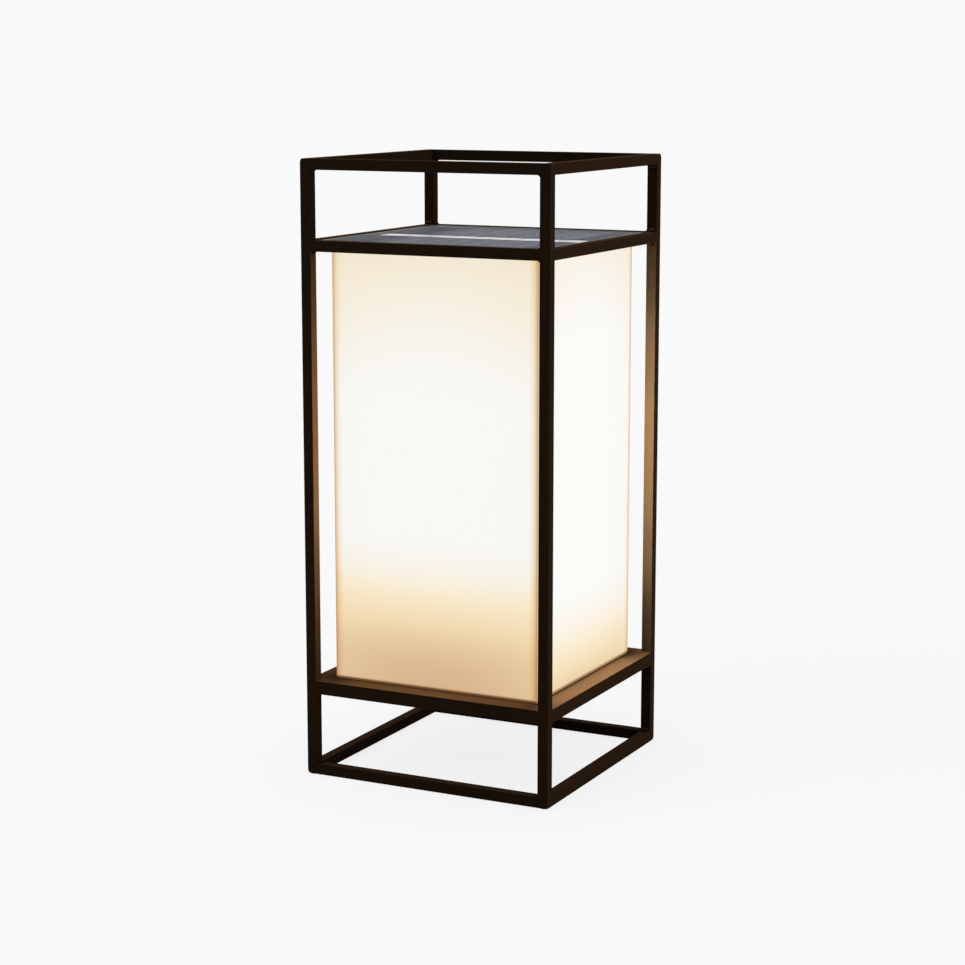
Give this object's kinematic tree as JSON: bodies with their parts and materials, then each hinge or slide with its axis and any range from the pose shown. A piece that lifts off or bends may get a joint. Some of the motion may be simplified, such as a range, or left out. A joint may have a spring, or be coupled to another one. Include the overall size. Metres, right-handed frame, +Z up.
{
  "type": "lantern table lamp",
  "caption": "Cordless solar lantern lamp: an open square-bar metal frame holding an opal light box with a solar panel on top and a push switch below.",
  "frame": {"origin": "centre of the footprint on the table, at the underside of the foot pads", "axes": "+Z up, the front face looks along -Y, +X to the right seen from the front"},
  "size_m": [0.2, 0.2, 0.462],
  "materials": {
    "frame_coat": "satin bronze-black powder coat",
    "pad_rubber": "matte",
    "opal": "opal acrylic with a fine satin face, lit from inside",
    "seal_silicone": "translucent amber silicone",
    "tray_plastic": "fine moulded texture",
    "panel_white": "laminate",
    "cell_blue": "crystalline cells with fine grid lines",
    "tinned_metal": "tinned",
    "cover_glass": "clear, with a fine matt skin against glare",
    "battery_wrap": "shrink sleeve",
    "circuit_green": "solder mask",
    "part_plastic": "moulded",
    "lead_sleeve": "smooth sleeve",
    "core_metal": "extruded",
    "led_board": "white solder mask",
    "led_chip": "phosphor",
    "white_plastic": "moulded",
    "switch_plastic": "fine moulded texture",
    "cap_rubber": "matte"
  },
  "bodies": {
    "frame": {"post_front_left": "frame_coat", "post_front_right": "frame_coat", "post_back_right": "frame_coat", "post_back_left": "frame_coat", "foot_rail_front": "frame_coat", "foot_rail_right": "frame_coat", "foot_rail_back": "frame_coat", "foot_rail_left": "frame_coat", "shelf_rail_front": "frame_coat", "shelf_rail_right": "frame_coat", "shelf_rail_back": "frame_coat", "shelf_rail_left": "frame_coat", "panel_rail_front": "frame_coat", "panel_rail_right": "frame_coat", "panel_rail_back": "frame_coat", "panel_rail_left": "frame_coat", "top_rail_front": "frame_coat", "top_rail_right": "frame_coat", "top_rail_back": "frame_coat", "top_rail_left": "frame_coat", "weld_fillets": "frame_coat", "shelf_plate": "frame_coat", "foot_pads": "pad_rubber"},
    "light_module": {"opal_sheet_front": "opal", "opal_sheet_right": "opal", "opal_sheet_back": "opal", "opal_sheet_left": "opal", "opal_floor": "opal", "foot_seal": "seal_silicone", "box_seal": "seal_silicone", "head_tray": "tray_plastic", "panel_seal": "seal_silicone", "panel_board": "panel_white", "solar_cells": "cell_blue", "cell_connectors": "tinned_metal", "panel_glass": "cover_glass", "battery_cell": "battery_wrap", "battery_tabs": "tinned_metal", "control_board": "circuit_green", "board_parts": "part_plastic", "leads": "lead_sleeve", "light_core": "core_metal", "led_strips": "led_board", "led_chips": "led_chip", "core_foot": "white_plastic", "core_head": "white_plastic", "core_screws": "tinned_metal", "switch_body": "switch_plastic", "switch_nut": "switch_plastic"},
    "switch": {"switch_cap": "cap_rubber"}
  },
  "joints": [
    {"name": "module_lift", "type": "slide", "parent": "frame", "child": "light_module", "axis": [0, 0, 1], "range_m": [0, 0.4]},
    {"name": "switch_press", "type": "slide", "parent": "light_module", "child": "switch", "axis": [0, 0, 1], "range_m": [0, 0.0015], "stiffness_N_per_m": 400, "springref_m": -0.001}
  ]
}
